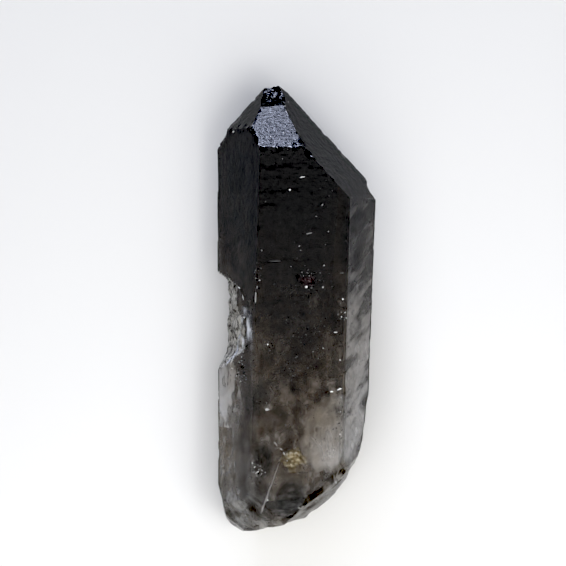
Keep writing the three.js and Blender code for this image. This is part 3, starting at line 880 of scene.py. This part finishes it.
def feather():
    """A feather under the front face: streaks that spread from one corner, as noise over the angle there."""
    long, wide = (0.35, 1, 0.05), (1, -0.35, 0.1)
    grid, along, over = flat_grid((4.2, -22.6, 18.2), long, wide, 8, 5.5, bend=0.15, seed=205)
    away = grid[..., :2] - MIDDLE[:2] - FEATHER_FROM
    angle, far = np.arctan2(away[..., 1], away[..., 0]), np.hypot(away[..., 0], away[..., 1])
    rays = fractal(np.stack([angle * 6, far * 0.35, 0 * far], -1), 1.0, seed=211)
    rays = np.clip(0.1 + 1.1 * rays, 0, 1.2)
    edge = np.clip(1.4 - 2.4 * np.hypot(along, over), 0, 1)
    yield "veil_fan", grid, np.clip(1.5 * rays * edge, 0, DENSEST) * inside(grid, 0.3), MILKY


KNOCKS = (  # name, x, y, half width, half height, depth, thickness
    ("veil_scar_top", -8.8, -3.3, 1.1, 2.7, -0.02, 2.4),
    ("veil_scar_foot", -12.2, -12.8, 2.0, 4.6, 0.15, 6.0),
)


def knocks():
    """Two small milky patches beside the scar, one on its skin and one just below, where the blow opened
    fine cracks: splintery noise in an uneven oval."""
    for name, x, y, half, tall, depth, much in KNOCKS:
        up, right = np.mgrid[-1.5 * tall : 1.5 * tall : KNOCK_STEP, -1.5 * half : 1.5 * half : KNOCK_STEP]
        grid = on_top(x + right, y + up, depth)
        away = np.hypot(right / half, up / tall) * (1 + 0.5 * fractal(grid, 1.6, seed=95))
        splinter = fractal(grid * (0.5, 0.2, 0.5), 0.5, seed=97, octaves=3)
        cover = 1 - np.exp(-much * np.exp(-(away**2.5)) * np.clip(0.7 + 1.1 * splinter, 0, 2))
        yield name, grid, cover * inside(grid - (0.5 - depth) * UP, 0.3), MILKY


# Bubbles scatter light evenly, so a veil is white and matt. Dense smoke only swallows light.
MILKY = in_quartz("healed fracture, milky with fluid bubbles", "#f4f6fa")
SMOKY = in_quartz("quartz, its smokiest zones", "#120f0d")
for label, points, dense, kind in [*haze(), *feathers(), *feather(), *knocks()]:
    inner_piece(label, sheet_mesh(label, points, dense), kind)


# The glints: small flat flakes that lie in the surface, mostly on the front face, with light and shade
# painted on them. The nearly white ones are painted highlights, the sparks where the quartz catches the
# light, and the near-black ones are the painted shade in the mouths of little pits beside them.

PAINTED_GLINTS = (  # painted highlights: x, y, length, width in mm, turn from +X in degrees, brightness
    (0.95, 22.2, 1.5, 0.26, 14, 0.8), (-1.05, 20.1, 0.5, 0.4, 20, 0.8), (4.3, 17.6, 0.7, 0.22, 40, 0.3),
    (2.1, 12.9, 1.5, 0.3, 12, 0.22), (5.3, 13.2, 0.3, 0.2, 0, 0.4), (3.3, 15.7, 0.5, 0.2, 5, 0.25),
    (0.5, 10.8, 0.4, 0.3, 30, 0.25), (0.7, 10.1, 0.35, 0.3, 0, 0.2), (-0.9, 7.4, 0.3, 0.2, 0, 0.4),
    (4.6, 7.6, 0.5, 0.3, 60, 0.4), (11.6, 8.0, 2.4, 0.22, 86, 0.5), (10.1, 4.1, 1.5, 0.2, 84, 0.35),
    (10.3, 1.0, 0.7, 0.2, 80, 0.3), (7.5, 6.3, 1.1, 0.15, 0, 0.2), (-3.5, 8.3, 3.2, 0.12, 0, 0.16),
    (-6.75, 2.3, 2.1, 0.24, 88, 0.9), (-6.5, 4.0, 0.8, 0.2, 80, 0.3), (7.7, 2.0, 0.5, 0.4, 40, 0.9),
    (8.1, -0.2, 0.4, 0.3, 60, 0.6), (8.25, -1.1, 0.4, 0.3, 0, 0.6), (1.65, 4.1, 0.75, 0.6, 20, 0.9),
    (4.4, 4.0, 0.5, 0.4, 0, 0.4), (6.4, -3.5, 1.0, 0.25, 0, 0.6), (-4.7, -5.5, 0.45, 0.35, 30, 0.9),
    (5.9, -13.3, 0.9, 0.4, -8, 0.9), (7.1, -12.9, 1.2, 0.3, 20, 0.85), (7.25, -8.1, 0.4, 0.4, 0, 0.8),
    (4.4, -6.1, 0.5, 0.35, 20, 0.5), (-4.9, -16.3, 1.0, 0.6, -10, 0.45), (-7.3, -25.1, 0.5, 0.2, 60, 0.85),
    (-6.9, -25.8, 0.3, 0.2, 60, 0.9), (-6.4, -26.6, 0.6, 0.14, 25, 0.9),
    (-7.3, -28.5, 0.25, 0.2, 0, 0.6), (-4.8, -31.3, 0.4, 0.35, 0, 0.8), (-8.5, -34.3, 0.4, 0.35, 0, 0.5),
    (7.2, -20.4, 0.4, 0.35, 0, 0.85), (7.0, -21.8, 0.35, 0.3, 0, 0.6), (7.9, -17.5, 0.35, 0.3, 0, 0.6),
    (3.55, -31.5, 0.45, 0.35, 30, 0.8), (1.1, -32.4, 0.35, 0.3, 0, 0.85), (0.45, -32.6, 0.3, 0.25, 0, 0.7),
    (-4.7, -35.1, 0.7, 0.2, 15, 0.5), (-11.9, -15.2, 0.5, 0.4, 70, 0.75), (-8.7, -1.1, 0.5, 0.4, 0, 0.6),
    (-3.4, -22.0, 1.1, 0.16, -55, 0.55), (-2.55, -22.8, 0.8, 0.18, -30, 0.6),
    (-2.05, -23.6, 0.7, 0.2, -70, 0.5), (-3.55, 36.6, 0.5, 0.4, 30, 0.7), (-4.9, 36.0, 0.35, 0.3, 0, 0.45),
    (-2.1, 35.2, 0.35, 0.3, 0, 0.4), (-10.6, 30.2, 0.5, 0.35, 40, 0.6), (-9.6, 3.9, 0.9, 0.3, -45, 0.7),
    (-8.9, 2.2, 1.2, 0.25, -75, 0.5),
)
PAINTED_SPECKS = (  # x, y, half width, half height of a crowd of specks, their number, the share painted as highlights, how bright; the rest are black, painted pit shade
    (-6.4, 6.0, 0.7, 1.6, 40, 0.45, 0.8),
    (2.2, 5.0, 2.1, 1.5, 60, 0.8, 0.45),
    (7.8, -0.3, 0.9, 2.4, 30, 0.4, 0.8),
    (-4.6, -6.0, 1.1, 1.2, 30, 0.4, 0.5),
    (-1.5, -9.6, 1.4, 1.3, 34, 0.3, 0.35),
    (-6.7, -26.2, 1.1, 1.4, 70, 0.55, 0.95),
    (7.2, -18.6, 0.8, 3.4, 90, 0.6, 0.95),
    (0.8, -32.4, 0.9, 0.5, 14, 0.6, 0.8),
    (-6.3, -15.4, 1.8, 1.2, 40, 0.4, 0.4),
    (4.4, -5.8, 1.4, 1.4, 20, 0.3, 0.4),
    (1.0, 1.0, 8.0, 22.0, 200, 0.85, 0.14),
    (0.5, -8.0, 7.0, 12.0, 220, 0.85, 0.24),
    (-1.0, -24.0, 9.0, 11.0, 260, 0.75, 0.4),
    (-9.8, -10.2, 1.2, 2.6, 150, 0.6, 0.95),
    (-3.2, 35.4, 2.0, 1.4, 90, 0.7, 0.8),
    (-3.6, 30.0, 3.0, 3.6, 300, 0.08, 0.5),
)
SWARM_SPREAD = 0.6  # standard deviation of a crowd, in its half sizes
SPECK_LEAST, SPECK_MORE = 0.07, 0.2  # mm across, and how much the largest adds
FLAKE_SIDES = 5
FLAKE_LIFT = 0.03  # mm above the surface
FLAKE_MARGIN = 0.5  # mm that the middle of a flake keeps from the crystal's outline
# The black of painted pit shade, and the white of a painted highlight.
PIT_SHADE_BLACK, GLINT_WHITE = "#0c0a09", "#fffffb"


def painted_glints_and_pits():
    """Small flat five-sided flakes, each an uneven ring of corners round a middle, laid on the surface below
    them. Specks are scattered round the middle of their swarm by the normal law. How bright each is, is an
    attribute: from the black of painted pit shade to the white of a painted highlight."""
    dice = np.random.default_rng(12)
    rows = [np.array(PAINTED_GLINTS)]
    for x, y, wide, tall, count, share, bright in PAINTED_SPECKS:
        size = SPECK_LEAST + SPECK_MORE * dice.random(count) ** 3
        # Lit specks are painted highlights. The rest are black, as painted shade in pits.
        lit = dice.random(count) < share
        shade = np.where(lit, bright * (0.15 + 0.85 * dice.random(count) ** 1.5), 0.0)
        right = x + wide * SWARM_SPREAD * dice.standard_normal(count)
        up = y + tall * SWARM_SPREAD * dice.standard_normal(count)
        length = size * (1 + dice.random(count))
        rows.append(np.stack([right, up, length, size, 180 * dice.random(count), shade], -1))
    rows = np.concatenate(rows)
    flat = np.stack([rows[:, 0] + MIDDLE[0], rows[:, 1] + MIDDLE[1], np.full(len(rows), FROM_HEIGHT)], -1)
    rows = rows[heights(flat, *SMOOTH).max(0) < -FLAKE_MARGIN]
    turn = np.radians(rows[:, 4:5])
    corner = np.linspace(0, 2 * np.pi, FLAKE_SIDES, endpoint=False)
    corner = corner + 0.5 * dice.random((len(rows), FLAKE_SIDES))
    reach = 0.45 + 0.6 * dice.random((len(rows), FLAKE_SIDES))
    a, b = reach * np.cos(corner) * rows[:, 2:3] / 2, reach * np.sin(corner) * rows[:, 3:4] / 2
    x = rows[:, :1] + a * np.cos(turn) - b * np.sin(turn)
    y = rows[:, 1:2] + a * np.sin(turn) + b * np.cos(turn)
    corners = np.minimum(on_top(x, y, -FLAKE_LIFT), (np.inf, TIP_END, THICKNESS))
    faces = np.arange(len(rows) * FLAKE_SIDES).reshape(-1, FLAKE_SIDES)
    mesh = bpy.data.meshes.new("painted_glints_and_pits")
    mesh.from_pydata(((corners - MIDDLE) * MM).reshape(-1, 3).tolist(), [], faces.tolist())
    shade = np.repeat(rows[:, 5], FLAKE_SIDES).astype(np.float32)
    mesh.attributes.new("shade", "FLOAT", "POINT").data.foreach_set("value", shade)
    return mesh


def glint_and_pit_paint():
    """Matt flakes coloured by their attribute: nearly white as painted highlights, and the near-black of
    painted shade in deep little pits: sparks among dark specks."""
    material, out = new_material("painted glints and pit shade")
    tree = material.node_tree
    shade = add_node(tree, "ShaderNodeAttribute", {"attribute_name": "shade"})
    tones = {"data_type": "RGBA", 6: linear(PIT_SHADE_BLACK), 7: linear(GLINT_WHITE)}
    tone = add_node(tree, "ShaderNodeMix", tones, Factor=shade.outputs["Fac"])
    shader = add_node(tree, "ShaderNodeBsdfPrincipled", {"Roughness": 0.45}, Base_Color=tone.outputs[2])
    tree.links.new(shader.outputs["BSDF"], out.inputs["Surface"])
    return material


inner_piece("painted_glints_and_pits", painted_glints_and_pits(), glint_and_pit_paint())


# The crumbs: an iron-brown crust on the front face near the base, a cluster of pinkish clay grains at mid
# height, and crushed quartz at the edge of the scar. The first two stuck when the crystal lay in the ground.

CRUMB_STEP = 0.09  # mm between the points of a crust
CRUMBS = (  # name; x, y, half sizes, turn, height, size of the lumps, seed, bareness; material; mottle in mm
    (
        "iron_crust",
        (-0.5, -24.5, 2.9, 2.1, -50, 0.04, 0.7, 101, 0.25),
        "iron oxide, an earthy crust",  # cracked and dull, golden brown with cream fringes
        ((0.34, "#5a5040"), (0.45, "#857a63"), (0.55, "#a69b82"), (0.68, "#dcd7ca")),
        0.6,
    ),
    (
        "clay_crumbs",
        (2.0, 5.1, 2.5, 1.5, -20, 0.08, 0.6, 121, 0.65),
        "clay, dried to crumbs",  # loose and dull, a pinkish grey with dark gaps
        ((0.35, "#2b2625"), (0.48, "#4e4645"), (0.58, "#766c6b"), (0.7, "#c2bab8")),
        0.5,
    ),
    (
        "scar_rubble",
        (-8.95, -3.3, 0.6, 2.2, 6, 0.25, 1.2, 131, 0.2),
        "quartz, crushed to grains",  # sugary and pale, since every grain has fresh broken faces
        ((0.34, "#6b675f"), (0.48, "#85827a"), (0.6, "#aaa7a1"), (0.75, "#d8d6d3")),
        0.9,
    ),
)


def crumbs(name, x, y, half_x, half_y, turn, height, grain_mm, seed, sparse):
    """A crust on the face below it: a flat grid inside an uneven oval, raised by rounded lumps of one size,
    that thins out towards its rim. A sparse one is left only on its highest lumps."""
    u = np.arange(-1.6, 1.6, CRUMB_STEP / half_x)[:, None]
    v = np.arange(-1.6, 1.6, CRUMB_STEP / half_y)[None, :]
    cos, sin = np.cos(np.radians(turn)), np.sin(np.radians(turn))
    a, b = u * half_x + 0 * v, v * half_y + 0 * u
    flat = on_top(x + a * cos - b * sin, y + a * sin + b * cos)
    rim = 1 - np.hypot(u, v) + 0.4 * fractal(flat, 1.5, seed)
    lumps = 0.6 + 0.5 * fractal(flat, grain_mm, seed + 7, octaves=3)
    rise = height * np.clip(rim * 2, -1, 1) * (0.35 + 0.65 * np.clip(lumps, 0, 1.2))
    grid = flat + rise[..., None] * UP
    grid[..., 2] = np.minimum(grid[..., 2], THICKNESS)
    cover = np.clip(1.4 * (rim - sparse * (1.2 - lumps)), 0, DENSEST)
    return sheet_mesh(name, grid, cover)


def crumb_finish(name, colours, mottle_mm):
    """A dull crust: a random mottle from its darkest colour to its lightest, and thin at its rim. Each colour
    has its place in the mottle, from 0 to 1."""
    material, out = new_material(name)
    tree = material.node_tree
    place = add_node(tree, "ShaderNodeTexCoord").outputs["Object"]
    cover = add_node(tree, "ShaderNodeAttribute", {"attribute_name": "cover"})
    mottle = {"Scale": 1 / (mottle_mm * MM), "Detail": 4.0, "Roughness": 0.65}
    mottle = add_node(tree, "ShaderNodeTexNoise", mottle, Vector=place)
    ramp = add_node(tree, "ShaderNodeValToRGB", Fac=mottle.outputs["Fac"])
    for i, (at, colour) in enumerate(colours):
        stop = ramp.color_ramp.elements[i] if i < 2 else ramp.color_ramp.elements.new(1.0)
        stop.position = at
        stop.color = linear(colour)
    shader = add_node(
        tree,
        "ShaderNodeBsdfPrincipled",
        {"Roughness": 0.7, "Specular IOR Level": 0.4},
        Base_Color=ramp.outputs["Color"],
        Alpha=cover.outputs["Fac"],
    )
    tree.links.new(shader.outputs["BSDF"], out.inputs["Surface"])
    return material


for label, spot, kind, tones, mottle_mm in CRUMBS:
    inner_piece(label, crumbs(label, *spot), crumb_finish(kind, tones, mottle_mm))


# The cracks: thin flat breaks that run down into the crystal from its front face near the base, with the
# veils' milky look. Along their upper edge the white is painted densest, as the highlight where light catches
# them.

CRACKS = (  # name, points of the line on the front face, depth, lean to +X per mm down, strength
    (
        "crack_long",
        ((-2.5, -24.6), (-3.4, -27.0), (-4.2, -29.2), (-4.9, -31.3), (-5.4, -32.6), (-5.9, -34.3)),
        4.5,
        -0.35,
        0.9,
    ),
    ("crack_right", ((5.2, -25.5), (5.9, -27.3), (6.5, -29.0)), 3.5, 0.5, 0.5),
    ("crack_edge", ((6.3, -28.3), (6.9, -26.0), (7.6, -23.4), (7.9, -21.0)), 3.0, 0.25, 0.7),
    ("crack_side", ((7.9, -17.5), (7.2, -15.0), (7.5, -12.4)), 2.5, -0.3, 0.35),
    ("crack_fan", ((2.2, -20.5), (3.6, -22.5), (4.2, -25.0)), 3.0, 0.8, 0.5),
    ("crack_scar", ((-11.0, 5.2), (-9.7, 3.9), (-9.1, 2.2), (-9.1, 0.3), (-9.4, -1.4)), 1.2, 0.5, 1.0),
)
CRACK_STEP = 0.12  # mm between the points of a crack
CRACK_SKIN = 0.04  # mm of whole quartz above it
CRACK_SWAY = 0.12  # mm that it bends off its plane
PAINTED_HIGHLIGHT_DEPTH = 0.8  # mm down to which a crack's painted highlight reaches
CRACK_SEED, SEED_STEP = 140, 11


def crack(line, depth, lean, strength, seed):
    """A sheet that hangs from a smooth line on the face, down and to one side, densest along its top edge, as
    a painted highlight, and patchy below, where it fades with depth. It also fades towards both ends."""
    line = np.array(line)
    marks = np.concatenate([[0], np.cumsum(np.linalg.norm(np.diff(line, axis=0), axis=1))])
    along = np.linspace(0, marks[-1], int(marks[-1] / CRACK_STEP))
    x, y = (np.interp(along, marks, line[:, i]) for i in (0, 1))
    down = np.linspace(CRACK_SKIN, depth, int(depth / CRACK_STEP))[None, :, None]
    grid = on_top(x, y)[:, None] - down * UP + lean * down * np.array([1.0, 0, 0])
    grid = grid + CRACK_SWAY * grain(grid, 1.3, seed)[..., None] * np.array([1.0, 0.4, 0])
    # The painted highlight: a band of dense white along the top edge.
    edge = np.exp(-((down[..., 0] / PAINTED_HIGHLIGHT_DEPTH) ** 4))
    patchy = 0.45 * np.clip(0.3 + fractal(grid, 1.4, seed + 3), 0, 1) * (1 - down[..., 0] / depth)
    fade = np.clip((0.5 - np.abs(along / marks[-1] - 0.5)) * 8, 0, 1)[:, None]
    cover = np.clip(strength * (edge + patchy) * fade, 0, DENSEST)
    return grid, cover * inside(grid, 0.05)


for i, (label, *facts) in enumerate(CRACKS):
    inner_piece(label, sheet_mesh(label, *crack(*facts, CRACK_SEED + SEED_STEP * i)), MILKY)
